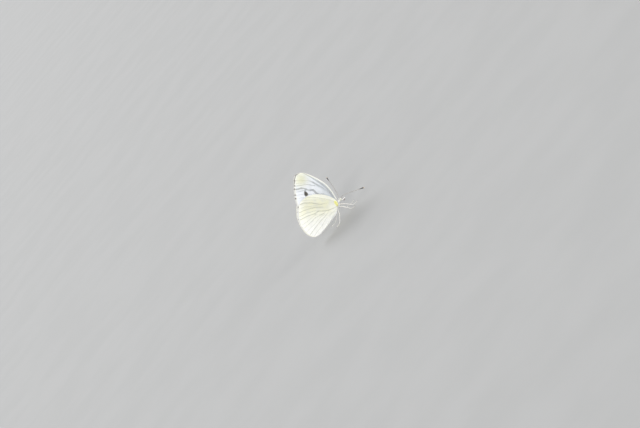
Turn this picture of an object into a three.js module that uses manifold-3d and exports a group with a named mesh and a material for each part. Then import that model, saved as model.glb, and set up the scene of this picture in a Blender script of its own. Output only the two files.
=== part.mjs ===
// A life-size white butterfly (a large Pieris female), standing on its six feet with its wings closed over
// its back. Millimetres, +Z up, the head towards -Y, the left side towards +X, the origin under the middle of
// the whole.
//
// Places are written as (side, forward, up) from the wing hinges, on the midline: side is the distance out
// from the midline, forward is -Y and up is +Z. LEFT and RIGHT are the two sides' signs along X.

import * as THREE from "three";
import { mergeVertices } from "three/addons/utils/BufferGeometryUtils.js";
import Module from "manifold-3d";

const wasm = await Module();
wasm.setup();

// ---- driving dimensions ----

const LEFT = 1;
const RIGHT = -1;
const FLOOR = -6.4; // how far the floor lies below the hinges
const GAP = 0.1; // the thin cut between two neighbouring pieces
const SHEET = 0.5; // thickness of a wing
const RIDGE = 0.16; // how much thicker a wing is along a vein

const THORAX = { centre: [0, -1.25, 0.3], half: [1.6, 3.4, 1.68], pitch: 26 };
const HEAD = { centre: [0, 2.45, 0.85], half: [1.0, 0.95, 1.08], pitch: 0 };
const EYE = { centre: [0.68, 2.65, 0.88], half: [0.56, 0.7, 0.86], pitch: -12 };

const ABDOMEN_LINE = [[0, -3.9, -0.5], [0, -6.6, -0.98], [0, -10.4, -1.28], [0, -14.8, -1.5]];
const ABDOMEN_RADIUS = 1.25;
const ABDOMEN_WAIST = 0.85;
const ABDOMEN_TIP = 0.42;

// Side outlines of the wings: each starts at the root, and the outer margin runs from apex to tornus.
const FOREWING = {
  costa: [[0.4, 1.0], [2.45, 6.7], [3.62, 13.1], [2.4, 20.8], [0.2, 26.7], [-2.8, 28.65]],
  margin: [
    [-2.8, 28.65], [-4.9, 27.65], [-6.9, 26.05], [-9.4, 23.9],
    [-12.15, 21.1], [-14.2, 18.4], [-16.0, 15.0],
  ],
  inner: [[-1.1, 1.15], [-6.0, 4.7], [-11.0, 9.4], [-16.0, 15.0]],
  root: [-0.5, 0.8],
};
const HINDWING = {
  costa: [[-0.75, 0.2], [0.35, 3.2], [-0.9, 8.5], [-4.3, 13.8], [-8.4, 16.85], [-12.5, 17.7]],
  margin: [
    [-12.5, 17.7], [-15.0, 16.95], [-17.1, 15.5], [-19.85, 12.9],
    [-22.35, 8.7], [-23.7, 3.5], [-22.6, -0.6], [-18.8, -2.5],
  ],
  inner: [[-2.0, -0.6], [-3.6, -1.6], [-5.9, -2.5], [-9.2, -2.93], [-14.0, -2.9], [-18.8, -2.5]],
  root: [-1.4, -0.2],
};
const FORE_SPREAD = { root: 1.84, beside: 1.72, tip: 2.1 };
const HIND_SPREAD = { root: 1.95, beside: 2.6, tip: 3.0, inner: 1.95, tornus: 1.1 };
const HINGE = 0.95; // how far from its root a hindwing has risen clear of the forewing
const LEAN = 0.25; // how far across a hindwing starts to lean in
const WING_REACH = 28; // distance at which the forewing's spread is its tip's
const HIND_REACH = 22;
const CAMBER = 0.45; // outward bulge of the closed wings, half-way out
const KEEL = { height: 1.9, edge: 0.36, from: 4.9, full: 7.6, fade: 15.5, end: 19.5 };

const FEELER = 0.26; // radius of an antenna's shaft
const CLUB = 0.46;
const FEELERS = {
  // The right one reaches forward and down, the left one stands up.
  right: [
    [0.3, 2.9, 1.2], [0.8, 4.7, 1.15], [1.2, 6.35, 0.65],
    [2.0, 9.5, -1.0], [2.7, 12.8, -3.0], [3.3, 15.9, -4.9],
  ],
  left: [[0.3, 2.75, 1.5], [1.5, 4.2, 3.9], [3.2, 5.55, 6.8], [5.3, 6.9, 10.1], [7.2, 8.0, 13.2]],
};

const PALP = { from: [0.6, 3.2, -0.02], to: [0.6, 5.0, -0.45], radius: 0.28 };
const TONGUE = { centre: [0, 4.2, -1.15], outer: 0.92, spacing: 0.64, turns: 1.15, radius: 0.26 };

const LEGS = {
  front: [[0.55, 0.4, -0.85], [2.3, 2.5, -2.6], [3.1, 4.2, -5.6], [4.3, 7.6, -6.17]],
  middle: [[0.7, -1.1, -1.6], [3.3, 0.6, -2.7], [4.8, 1.7, -5.6], [7.6, 4.0, -6.17]],
  hind: [[0.65, -2.6, -2.05], [2.9, -4.5, -3.75], [4.6, -7.2, -5.6], [6.3, -11.2, -6.17]],
};
const THIGH = 0.4;
const KNEE = 0.3;
const SHIN = 0.27;
const FOOT = 0.27;

const COLOURS = {
  wing: 0xe8ebec,
  hindwing: 0xefeed8,
  coat: 0xeceae5,
  eye: 0xc8c9b6,
  dark: 0x5a4a3e,
  leg: 0xe6e3da,
};

// ---- small helpers ----

const place = (side, [out, forward, up]) => new THREE.Vector3(side * out, -forward, up);
const curveThrough = (side, places) =>
  new THREE.CatmullRomCurve3(places.map((p) => place(side, p)), false, "centripetal");
const curve2 = (points) => new THREE.SplineCurve(points.map(([x, y]) => new THREE.Vector2(x, y)));
const { clamp, degToRad, lerp, smoothstep } = THREE.MathUtils;

function material(colour, roughness) {
  return new THREE.MeshStandardMaterial({ color: colour, roughness, metalness: 0 });
}

// Moves each vertex of a ready-made geometry by a function and closes it into one shell.
function reshape(geometry, move) {
  geometry.deleteAttribute("normal");
  geometry.deleteAttribute("uv");
  const at = geometry.getAttribute("position");
  const point = new THREE.Vector3();
  for (let i = 0; i < at.count; i++) {
    point.fromBufferAttribute(at, i);
    move(point);
    at.setXYZ(i, point.x, point.y, point.z);
  }
  return mergeVertices(geometry, 1e-4);
}

function toSolid(geometry) {
  return new wasm.Manifold(
    new wasm.Mesh({
      numProp: 3,
      vertProperties: new Float32Array(geometry.getAttribute("position").array),
      triVerts: new Uint32Array(geometry.index.array),
    }),
  );
}

function toGeometry(solid) {
  const mesh = solid.getMesh();
  return new THREE.BufferGeometry()
    .setAttribute("position", new THREE.BufferAttribute(mesh.vertProperties, 3))
    .setIndex(new THREE.BufferAttribute(mesh.triVerts, 1));
}

function cut(geometry, ...tools) {
  return toGeometry(tools.reduce((left, tool) => left.subtract(toSolid(tool)), toSolid(geometry)));
}

// ---- body ----

// An ellipsoid at its place, tipped nose up by its pitch. grow widens it for cutting a neighbour.
function ellipsoid(side, { centre, half, pitch }, across, along, grow = 0) {
  const turn = new THREE.Matrix4()
    .makeRotationX(degToRad(-pitch))
    .setPosition(place(side, centre));
  return reshape(new THREE.SphereGeometry(1, across, along), (point) => {
    const [wide, long, high] = half.map((h) => h + grow);
    point.set(point.x * wide, point.z * long, point.y * -high).applyMatrix4(turn);
  });
}

// A round tube along a curve, closed at both ends. radius is a function of the way along, from 0 to 1.
function tube(curve, radius, sides, steps) {
  const frames = curve.computeFrenetFrames(steps, false);
  return reshape(new THREE.CylinderGeometry(1, 1, 1, sides, steps), (point) => {
    const along = clamp(0.5 + point.y, 0, 1);
    const step = Math.round(along * steps);
    const wide = radius(along);
    const centre = curve.getPointAt(along);
    const out = point.z * wide;
    centre.addScaledVector(frames.normals[step], out);
    centre.addScaledVector(frames.binormals[step], point.x * wide);
    point.copy(centre);
  });
}

const chest = (grow = 0) => ellipsoid(LEFT, THORAX, 20, 16, grow);
const skull = (grow = 0) => ellipsoid(LEFT, HEAD, 14, 10, grow);
const eyeball = (side, grow = 0) => ellipsoid(side, EYE, 12, 8, grow);

function thorax() {
  return cut(chest(), skull(GAP));
}

function head() {
  return cut(skull(), eyeball(LEFT, GAP / 2), eyeball(RIGHT, GAP / 2));
}

function abdomen() {
  const radius = (along) => {
    const swell = lerp(ABDOMEN_WAIST, ABDOMEN_RADIUS, smoothstep(along, 0, 0.34));
    const taper = lerp(1, ABDOMEN_TIP / ABDOMEN_RADIUS, smoothstep(along, 0.5, 1) ** 1.3);
    return swell * taper;
  };
  const body = tube(curveThrough(LEFT, ABDOMEN_LINE), radius, 16, 16);
  return cut(body, chest(GAP));
}

// ---- wings ----

// A point of a wing's side view. out runs from root to outer margin, across from costa to inner margin.
function sidePoint(outline, out, across) {
  const { costa, margin, inner } = outline.curves;
  const front = costa.getPoint(out);
  const back = inner.getPoint(out);
  const rim = margin.getPoint(across);
  const [rootFront, rootBack] = [costa.getPoint(0), inner.getPoint(0)];
  const [apex, tornus] = [margin.getPoint(0), margin.getPoint(1)];
  const point = new THREE.Vector2();
  for (const axis of ["x", "y"]) {
    const root = lerp(rootFront[axis], rootBack[axis], across);
    const between = lerp(front[axis], back[axis], across) + lerp(root, rim[axis], out);
    const corners = lerp(
      lerp(rootFront[axis], rootBack[axis], across),
      lerp(apex[axis], tornus[axis], across),
      out,
    );
    point[axis] = between - corners;
  }
  return point;
}

const bulge = (reach) => CAMBER * Math.sin(Math.PI * clamp(reach / WING_REACH, 0, 1));

function foreSpread(point) {
  const reach = point.distanceTo(new THREE.Vector2(...FOREWING.root));
  const near = lerp(FORE_SPREAD.root, FORE_SPREAD.beside, smoothstep(reach, 0, 4));
  const slope = (FORE_SPREAD.tip - FORE_SPREAD.beside) / (WING_REACH - 5);
  return near + slope * Math.max(0, reach - 5) + bulge(reach);
}

// The hindwings lean in towards their inner margins, which wrap under the abdomen as a keel.
function hindSpread(point, out, across) {
  const reach = point.distanceTo(new THREE.Vector2(...HINDWING.root));
  const { root, beside, tip, inner, tornus } = HIND_SPREAD;
  const slope = (tip - beside) / (HIND_REACH - 5);
  const lifted = smoothstep(reach, 0, HINGE);
  const high = lerp(root, beside, lifted) + slope * Math.max(0, reach - 5) + bulge(reach);
  const low = lerp(root, lerp(inner, tornus, smoothstep(reach, 12, HIND_REACH)), lifted);
  const side = lerp(high, low, smoothstep(across, LEAN, 1));
  const toEdge = point.distanceTo(HINDWING.curves.inner.getPoint(out));
  const down = clamp(1 - toEdge / KEEL.height, 0, 1);
  const rear = -point.x;
  const hold = smoothstep(rear, KEEL.from, KEEL.full) * (1 - 0.75 * smoothstep(rear, KEEL.fade, KEEL.end));
  return side - hold * (side - KEEL.edge) * (1 - Math.sqrt(1 - down * down));
}

for (const outline of [FOREWING, HINDWING])
  outline.curves = {
    costa: curve2(outline.costa),
    margin: curve2(outline.margin),
    inner: curve2(outline.inner),
  };

// A wing is a slab bent to its surface, a little thicker along every second line, as veins are.
function wing(side, outline, spread, outSteps, acrossSteps, crowd) {
  const onSurface = (out, across) => {
    const point = sidePoint(outline, out, across);
    return place(side, [spread(point, out, across), point.x, point.y]);
  };
  const normalAt = (out, across) => {
    const step = 0.004;
    const [low, high] = [Math.max(0, out - step), Math.min(1, out + step)];
    const [front, back] = [Math.max(0, across - step), Math.min(1, across + step)];
    const alongOut = onSurface(high, across).sub(onSurface(low, across));
    const alongAcross = onSurface(out, back).sub(onSurface(out, front));
    return alongOut.cross(alongAcross).normalize();
  };
  return reshape(new THREE.BoxGeometry(1, 1, 1, outSteps, acrossSteps, 1), (point) => {
    const out = clamp(point.x + 0.5, 0, 1);
    const line = clamp(0.5 - point.y, 0, 1);
    const across = 1 - (1 - line) ** crowd;
    const fade = Math.sin(Math.PI * clamp(out, 0.1, 0.95));
    const vein = Math.cos((Math.PI / 2) * line * acrossSteps) ** 2 * fade;
    const half = SHEET / 2 + (RIDGE / 2) * vein;
    const offset = -Math.sign(point.z) * half;
    const centre = onSurface(out, across);
    point.copy(centre.addScaledVector(normalAt(clamp(out, 0.01, 0.99), clamp(across, 0.01, 0.99)), offset));
  });
}

// ---- antennae, mouth and legs ----

function antenna(side, places) {
  const radius = (along) => {
    const club = smoothstep(along, 0.8, 0.93) * (1 - 0.5 * smoothstep(along, 0.95, 1));
    return FEELER + (CLUB - FEELER) * club;
  };
  const shaft = tube(curveThrough(side, places), radius, 8, 18);
  return cut(shaft, skull(GAP / 2), eyeball(side, GAP / 2));
}

function palp(side) {
  const line = new THREE.LineCurve3(place(side, PALP.from), place(side, PALP.to));
  const radius = (along) => PALP.radius * Math.sqrt(1 - (0.94 * (2 * along - 1)) ** 2);
  return cut(tube(line, radius, 8, 8), skull(GAP / 2), eyeball(side, GAP / 2));
}

// The tongue is a flat coil below the face.
class Coil extends THREE.Curve {
  getPoint(along, target = new THREE.Vector3()) {
    const turn = along * TONGUE.turns * 2 * Math.PI;
    const radius = TONGUE.outer - (TONGUE.spacing * turn) / (2 * Math.PI);
    const [out, forward, up] = TONGUE.centre;
    const angle = Math.PI * 0.62 - turn;
    return target.copy(place(LEFT, [out, forward + radius * Math.cos(angle), up + radius * Math.sin(angle)]));
  }
}

function tongue() {
  const coil = tube(new Coil(), () => TONGUE.radius, 8, 20);
  return cut(coil, skull(GAP / 2));
}

function leg(side, [hip, knee, ankle, toe]) {
  const mix = (a, b, share) => a.map((value, i) => lerp(value, b[i], share));
  const touch = mix(ankle, toe, 0.36);
  touch[2] = toe[2];
  const path = new THREE.CurvePath();
  const stops = [hip, mix(hip, knee, 0.92), mix(knee, ankle, 0.08), mix(knee, ankle, 0.94), touch, toe];
  const corners = stops.map((stop) => place(side, stop));
  corners.slice(1).forEach((corner, i) => path.add(new THREE.LineCurve3(corners[i], corner)));
  const lengths = path.getCurveLengths();
  const share = (stop) => lengths[stop - 1] / lengths.at(-1);
  const radius = (along) => {
    if (along < share(1)) return lerp(THIGH * 0.8, THIGH, Math.sin((Math.PI * along) / share(1))) - 0.04;
    if (along < share(3)) return lerp(KNEE, SHIN, smoothstep(along, share(1), share(3)));
    return FOOT;
  };
  // Rings sit at the corners and evenly between them, so that a straight length stays straight.
  const rings = { thigh: 4, knee: 1, shin: 3, heel: 2, foot: 4 };
  const perLength = Object.values(rings);
  const total = perLength.reduce((sum, n) => sum + n, 0);
  const alongAt = (ring) => {
    let left = ring;
    for (let i = 0; i < perLength.length; i++) {
      if (left <= perLength[i]) {
        const from = i ? share(i) : 0;
        return lerp(from, share(i + 1), left / perLength[i]);
      }
      left -= perLength[i];
    }
    return 1;
  };
  const upright = new THREE.Vector3(0, 0, 1);
  const limb = reshape(new THREE.CylinderGeometry(1, 1, 1, 7, total), (point) => {
    const along = alongAt(Math.round(clamp(0.5 + point.y, 0, 1) * total));
    const centre = path.getPointAt(along);
    const ahead = path.getPointAt(Math.min(1, along + 0.02));
    const forward = ahead.sub(path.getPointAt(Math.max(0, along - 0.02))).normalize();
    const sideways = new THREE.Vector3().crossVectors(upright, forward).normalize();
    const rise = new THREE.Vector3().crossVectors(sideways, forward);
    centre.addScaledVector(sideways, point.x * radius(along));
    centre.addScaledVector(rise, point.z * radius(along));
    point.copy(centre);
  });
  const ground = new THREE.BoxGeometry(40, 60, 2).translate(0, 0, FLOOR - 1);
  return cut(limb, chest(GAP / 2), reshape(ground, () => {}));
}

// ---- assembly ----

const butterfly = new THREE.Group();

function add(name, geometry, colour, roughness) {
  const mesh = new THREE.Mesh(geometry, material(colour, roughness));
  mesh.name = name;
  butterfly.add(mesh);
}

add("thorax", thorax(), COLOURS.coat, 0.9);
add("head", head(), COLOURS.coat, 0.9);
add("abdomen", abdomen(), COLOURS.coat, 0.85);
add("proboscis", tongue(), COLOURS.dark, 0.45);

for (const [name, side] of [["left", LEFT], ["right", RIGHT]]) {
  add(`forewing_${name}`, wing(side, FOREWING, foreSpread, 16, 12, 1), COLOURS.wing, 0.8);
  add(`hindwing_${name}`, wing(side, HINDWING, hindSpread, 16, 14, 1.5), COLOURS.hindwing, 0.8);
  add(`eye_${name}`, eyeball(side), COLOURS.eye, 0.25);
  add(`antenna_${name}`, antenna(side, FEELERS[name]), COLOURS.dark, 0.6);
  add(`palp_${name}`, palp(side), COLOURS.coat, 0.9);
  for (const [pair, places] of Object.entries(LEGS))
    add(`leg_${pair}_${name}`, leg(side, places), COLOURS.leg, 0.7);
}

// The origin goes under the middle of the whole, at the level of the feet.
const whole = new THREE.Box3().setFromObject(butterfly);
const middle = whole.getCenter(new THREE.Vector3());
butterfly.position.set(0, -middle.y, -FLOOR);

const part = new THREE.Group();
part.add(butterfly);

export default part;
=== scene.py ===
"""A life-size white butterfly on a pale floor, standing with its wings closed upright over its back.

Shapes are built in millimetres round the wing hinges: x to the butterfly's left, y backwards, z up. Each
piece is moved into the shared frame, in metres, when it is finished.
"""

import math

import bmesh
import bpy
import numpy as np
from mathutils import Matrix, Vector


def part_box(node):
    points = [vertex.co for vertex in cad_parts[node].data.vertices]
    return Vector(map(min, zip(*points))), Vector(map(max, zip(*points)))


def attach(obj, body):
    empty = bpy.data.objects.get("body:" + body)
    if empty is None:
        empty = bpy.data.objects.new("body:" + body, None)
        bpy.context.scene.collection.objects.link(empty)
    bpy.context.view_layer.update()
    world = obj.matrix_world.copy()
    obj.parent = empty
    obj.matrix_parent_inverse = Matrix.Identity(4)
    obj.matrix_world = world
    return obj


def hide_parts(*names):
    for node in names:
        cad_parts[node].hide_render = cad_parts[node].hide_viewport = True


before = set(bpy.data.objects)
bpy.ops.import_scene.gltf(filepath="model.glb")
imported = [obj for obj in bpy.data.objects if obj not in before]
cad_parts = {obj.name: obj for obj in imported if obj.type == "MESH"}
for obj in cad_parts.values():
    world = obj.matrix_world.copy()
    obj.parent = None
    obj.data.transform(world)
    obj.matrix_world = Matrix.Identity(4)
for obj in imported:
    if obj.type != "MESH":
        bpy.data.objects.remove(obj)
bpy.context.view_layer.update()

# ---- the model's own sizes, in millimetres and degrees ----

MM = 0.001
LEFT, RIGHT = 1, -1
SIDES = {"left": LEFT, "right": RIGHT}
HINGE_HEIGHT = 6.4  # the wing hinges above the floor

# Rounded parts of the body: centre as (out, forward, up), half sizes as (wide, long, high).
THORAX = {"centre": (0, -1.25, 0.3), "half": (1.28, 3.1, 1.38), "pitch": 26}
HEAD = {"centre": (0, 2.42, 0.85), "half": (0.78, 0.76, 0.86), "pitch": 0}
NECK = {"centre": (0, 1.55, 1.0), "half": (0.62, 0.7, 0.62), "pitch": 30}
SHOULDERS = (
    {"centre": (1.12, -0.4, 0.95), "half": (0.55, 0.8, 0.34), "pitch": 20},
    {"centre": (1.15, -1.55, -0.05), "half": (0.6, 0.6, 0.34), "pitch": 20},
)
EYE = {"centre": (0.68, 2.65, 0.88), "half": (0.53, 0.68, 0.83), "pitch": -12}
ABDOMEN_LINE = [(0, -3.2, -0.35), (0, -6.6, -0.98), (0, -10.4, -1.28), (0, -14.6, -1.48)]
ABDOMEN_RADIUS, ABDOMEN_WAIST, ABDOMEN_TIP = 1.06, 0.72, 0.3
ABDOMEN_RINGS = 7
SKIN_GRAIN = 0.085  # the size of the cells that join the parts into one skin
# A line through the middle of head, thorax and abdomen, from front to back.
SPINE = [(0, 3.2, 0.9), (0, 1.6, 1.1), THORAX["centre"], (0, -3.4, -0.4), *ABDOMEN_LINE[1:]]
SPINE_STEPS = 240

# Side outlines of the wings as (forward, up). The outer margin runs from apex to tornus.
FOREWING = {
    "costa": [(0.4, 1), (2.45, 6.7), (3.62, 13.1), (2.4, 20.8), (0.2, 26.7), (-2.8, 28.65)],
    "margin": [
        (-2.8, 28.65), (-4.9, 27.65), (-6.9, 26.05), (-9.4, 23.9), (-12.15, 21.1), (-14.2, 18.4), (-16, 15),
    ],
    "inner": [(-1.1, 1.15), (-6, 4.7), (-11, 9.4), (-16, 15)],
    "root": (-0.5, 0.8),
}
HINDWING = {
    "costa": [(-0.75, 0.2), (0.35, 3.2), (-0.9, 8.5), (-4.3, 13.8), (-8.4, 16.85), (-12.5, 17.7)],
    "margin": [
        (-12.5, 17.7), (-15, 16.95), (-17.1, 15.5), (-19.85, 12.9), (-22.35, 8.7), (-23.7, 3.5),
        (-22.6, -0.6), (-18.8, -2.5),
    ],
    "inner": [(-2, -0.6), (-3.6, -1.6), (-5.9, -2.5), (-9.2, -2.93), (-14, -2.9), (-18.8, -2.5)],
    "root": (-1.4, -0.2),
}
# How far a wing stands out from the midline: at its root, beside the body and at its tip, and for a hindwing
# along and at the end of its inner margin. hinge and reach are distances from the root: where the wing has
# left it, and where the wing ends.
SPREADS = {
    "forewing": {"root": 1.84, "beside": 1.72, "tip": 2.1, "hinge": 4, "reach": 28},
    "hindwing": {
        "root": 1.95, "beside": 2.6, "tip": 3.0, "inner": 1.95, "tornus": 1.1, "hinge": 0.95, "reach": 22,
    },
}
FLARE = 5  # how far from the root the wings start to stand out evenly
LEAN = 0.25  # where across the hindwing it starts to lean in to its inner margin
KEEL = {"height": 1.9, "edge": 0.36, "from": 4.9, "full": 7.6, "fade": 15.5, "end": 19.5}
CAMBER, MEMBRANE, PLEAT = 0.45, 0.09, 0.07
VEIN_DUST = 0.29  # how far the dark dusting reaches on each side of a vein
WING_GRID = (150, 120)

# Veins: how strong the dark dusting along each is, its thickness at the start and its line as (out, across):
# out runs from a wing's root to its margin, across from costa to inner margin.
FORE_VEINS = {
    "costa": (0, 0.2, [(0, 0), (0.5, 0), (0.985, 0)]),
    "subcosta": (0.1, 0.12, [(0, 0.12), (0.3, 0.06), (0.58, 0.005)]),
    "radius": (0.8, 0.16, [(0, 0.38), (0.15, 0.29), (0.3, 0.24), (0.42, 0.25), (0.52, 0.25), (0.6, 0.22)]),
    "radius_1": (0.85, 0.12, [
        (0, 0.35), (0.12, 0.22), (0.22, 0.15), (0.35, 0.14), (0.45, 0.12), (0.65, 0.065), (0.8, 0.005),
    ]),
    "radius_2": (0.3, 0.09, [(0.5, 0.25), (0.62, 0.17), (0.76, 0.09), (0.9, 0.005)]),
    "radius_3": (0.35, 0.09, [(0.6, 0.22), (0.72, 0.16), (0.86, 0.1), (1, 0.04)]),
    "media_1": (0.6, 0.08, [(0.6, 0.22), (0.68, 0.22), (0.75, 0.25), (0.83, 0.25), (1, 0.225)]),
    "crossvein": (0.2, 0.07, [(0.6, 0.22), (0.57, 0.29), (0.585, 0.38), (0.605, 0.46)]),
    "media_2": (0.65, 0.08, [(0.57, 0.3), (0.62, 0.335), (0.7, 0.35), (0.78, 0.38), (0.85, 0.4), (1, 0.4)]),
    "media_3": (0.9, 0.09, [
        (0.605, 0.465), (0.65, 0.49), (0.72, 0.5), (0.78, 0.48), (0.85, 0.475), (0.93, 0.49), (1, 0.487),
    ]),
    "cubitus": (0.75, 0.15, [
        (0, 0.52), (0.2, 0.47), (0.33, 0.465), (0.43, 0.49), (0.485, 0.53), (0.525, 0.54), (0.562, 0.51),
        (0.605, 0.467),
    ]),
    "cubitus_1": (0.45, 0.09, [(0.525, 0.54), (0.6, 0.58), (0.7, 0.605), (0.8, 0.62), (1, 0.63)]),
    "cubitus_2": (0.4, 0.09, [
        (0.38, 0.475), (0.5, 0.61), (0.65, 0.67), (0.75, 0.69), (0.85, 0.7), (1, 0.72),
    ]),
    "anal": (0.2, 0.11, [(0, 0.8), (0.25, 0.86), (0.6, 0.93), (1, 0.94)]),
}
# Dusted folds and smudges: strength, width and line.
FORE_FOLDS = [
    (1, 0.5, [(0.51, 0.555), (0.525, 0.542), (0.562, 0.51), (0.6, 0.472), (0.66, 0.49)]),
    (0.85, 0.4, [(0.745, 0.49), (0.772, 0.54), (0.77, 0.57), (0.76, 0.605)]),
    (0.8, 0.42, [(0.14, 0.28), (0.2, 0.225), (0.27, 0.16), (0.36, 0.13), (0.45, 0.115), (0.53, 0.09)]),
    (0.8, 0.4, [(0.84, 0.475), (0.93, 0.49), (1, 0.487)]),
    (0.5, 0.3, [(0.75, 0.335), (0.85, 0.345), (1, 0.33)]),
    (0.5, 0.3, [(0.8, 0.535), (0.88, 0.55), (1, 0.555)]),
    (0.25, 0.35, [(0.7, 0.29), (0.8, 0.3), (0.93, 0.285)]),
    (0.24, 1.25, [(0.74, 0.5), (0.86, 0.49), (1, 0.5)]),
]
HIND_VEINS = {
    "costa": (0, 0.13, [(0.02, 0), (0.5, 0), (0.97, 0)]),
    "humeral": (0.1, 0.08, [(0.12, 0.2), (0.2, 0.1), (0.27, 0.02)]),
    "subcosta": (0.5, 0.13, [
        (0, 0.25), (0.2, 0.18), (0.45, 0.18), (0.6, 0.13), (0.7, 0.09), (0.78, 0.05), (0.87, 0.005),
    ]),
    "radius": (0.25, 0.14, [(0, 0.35), (0.2, 0.3), (0.4, 0.36), (0.52, 0.385)]),
    "radius_s": (0.85, 0.09, [
        (0.4, 0.36), (0.52, 0.385), (0.62, 0.335), (0.7, 0.28), (0.8, 0.22), (0.88, 0.155), (1, 0.1),
    ]),
    "media_1": (0.4, 0.08, [(0.47, 0.42), (0.58, 0.4), (0.7, 0.36), (0.8, 0.31), (1, 0.235)]),
    "media_2": (0.8, 0.09, [(0.44, 0.49), (0.5, 0.47), (0.6, 0.44), (0.7, 0.41), (0.8, 0.385), (1, 0.335)]),
    "crossvein": (0.15, 0.07, [(0.52, 0.385), (0.47, 0.42), (0.44, 0.49), (0.48, 0.545), (0.53, 0.565)]),
    "media_3": (0.8, 0.09, [(0.6, 0.53), (0.66, 0.54), (0.72, 0.53), (0.8, 0.51), (0.9, 0.49), (1, 0.475)]),
    "cubitus": (0.85, 0.14, [(0, 0.52), (0.2, 0.575), (0.3, 0.6), (0.42, 0.6), (0.52, 0.57), (0.6, 0.53)]),
    "cubitus_1": (0.65, 0.09, [(0.45, 0.59), (0.55, 0.63), (0.7, 0.61), (0.8, 0.62), (1, 0.62)]),
    "cubitus_2": (0.65, 0.09, [
        (0.33, 0.6), (0.45, 0.66), (0.55, 0.7), (0.7, 0.72), (0.85, 0.745), (1, 0.765),
    ]),
    "anal": (0.5, 0.1, [
        (0, 0.68), (0.25, 0.71), (0.45, 0.74), (0.6, 0.77), (0.72, 0.81), (0.87, 0.83), (1, 0.85),
    ]),
    "anal_3": (0.45, 0.08, [
        (0, 0.82), (0.25, 0.83), (0.45, 0.84), (0.6, 0.875), (0.7, 0.92), (0.8, 0.96), (0.87, 0.995),
    ]),
}
HIND_FOLDS = [
    (0.5, 0.28, [(0.6, 0.24), (0.68, 0.19), (0.75, 0.15), (0.82, 0.11), (0.92, 0.05), (0.98, 0.01)]),
    (0.7, 0.26, [(0.62, 0.515), (0.67, 0.49), (0.75, 0.47), (0.85, 0.445), (1, 0.42)]),
    (0.5, 0.28, [(0.47, 0.615), (0.52, 0.625), (0.58, 0.615), (0.64, 0.59), (0.69, 0.55)]),
    (0.55, 0.26, [(0.68, 0.575), (0.73, 0.57), (0.85, 0.575), (1, 0.56)]),
    (0.5, 0.26, [(0.52, 0.66), (0.62, 0.655), (0.75, 0.68), (0.93, 0.687), (1, 0.687)]),
    (0.25, 0.26, [(0.72, 0.37), (0.82, 0.335), (1, 0.285)]),
    (0.25, 0.26, [(0.6, 0.73), (0.75, 0.77), (1, 0.81)]),
]
# Marks on a wing, each an oval: its middle as (forward, up), width, height, turn and bluntness.
FORE_SPOTS = (((-7.62, 18.15), 0.97, 1.32, -0.41, -0.08), ((-12.3, 13.6), 1.15, 0.9, 0.3, 0.14))
HIND_SPOT = ((-12.2, 16.2), 1.5, 0.9, 0.5)
YELLOW_PATCH = ((-0.9, 1.7), 0.72, 1.55, -0.22)
CREAM_TIP, CREAM_REACH = (-3.0, 25.0), 3.7
FRINGE_SCALES, FRINGE_ROWS, FRINGE_STEP = 2200, 2, 0.012

SHAFT, CLUB = 0.13, 0.3
FEELER_RINGS = 38
FEELERS = {
    "right": [
        (0.3, 2.75, 1.2), (0.8, 4.7, 1.15), (1.2, 6.35, 0.65), (2, 9.5, -1), (2.7, 12.8, -3),
        (3.3, 15.9, -4.9),
    ],
    "left": [(0.3, 2.65, 1.5), (1.5, 4.2, 3.9), (3.2, 5.55, 6.8), (5.3, 6.9, 10.1), (7.2, 8, 13.2)],
}
PALP = [(0.42, 2.75, 0.2), (0.58, 3.5, -0.1), (0.6, 4.3, -0.28), (0.58, 5.0, -0.48)]
PALP_SKIN, PALP_ROOTS = 0.15, 0.13  # the radius of its skin, and of the roots of its hairs
PALP_HAIRS = 1100
TONGUE = {
    "face": (0, 3.05, 0.1), "centre": (0, 3.95, -0.66), "outer": 0.74, "turns": 2.6, "pitch": 0.225,
    "start": math.pi * 0.62, "radius": 0.085,
}
LEGS = {
    "front": [(0.45, 0.2, -0.45), (2.3, 2.5, -2.6), (3.1, 4.2, -5.6), (4.3, 7.6, -6.4)],
    "middle": [(0.5, -1.0, -0.9), (3.3, 0.6, -2.7), (4.8, 1.7, -5.6), (7.6, 4.0, -6.4)],
    "hind": [(0.45, -2.5, -1.4), (2.9, -4.5, -3.75), (4.6, -7.2, -5.6), (6.3, -11.2, -6.4)],
}
HIP, THIGH, KNEE, SHIN, FOOT = 0.29, 0.21, 0.16, 0.125, 0.105  # radii
FOOT_JOINTS = 5
TOUCH = 0.34  # where between ankle and toe the foot comes down to the floor
CLAW_LINE = ((0, 0, 0), (0.12, 0.05, 0.06), (0.24, 0.11, 0.02), (0.3, 0.14, -0.09))
CLAW_RADII = (0.05, 0.042, 0.028, 0.006)
LEG_SCALES = 1900

# The solids' own eye gives where the hinges are along the frame's Y axis.
eye_low, eye_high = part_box("eye_right")
HINGE_Y = (eye_low.y + eye_high.y) / 2 / MM + EYE["centre"][1]
TO_FRAME = Matrix.Scale(MM, 4) @ Matrix.Translation((0, HINGE_Y, HINGE_HEIGHT))


# ---- making pieces ----


def at(side, place):
    """A point from (distance out from the midline, forward, up)."""
    out, forward, up = place
    return Vector((side * out, -forward, up))


def add_object(name, data):
    made = bpy.data.objects.new(name, data)
    bpy.context.collection.objects.link(made)
    return made


def finish_piece(name, mesh, materials, replaces=()):
    """Moves a mesh in millimetres into the frame and hands it over as a piece."""
    mesh.transform(TO_FRAME)
    mesh.shade_smooth()
    mesh.name = name
    for material in materials:
        mesh.materials.append(material)
    piece = add_object(name, mesh)
    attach(piece, "root")
    if replaces:
        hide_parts(*replaces)
    return piece


def to_mesh(bm, name="piece"):
    mesh = bpy.data.meshes.new(name)
    bm.to_mesh(mesh)
    bm.free()
    return mesh


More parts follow.
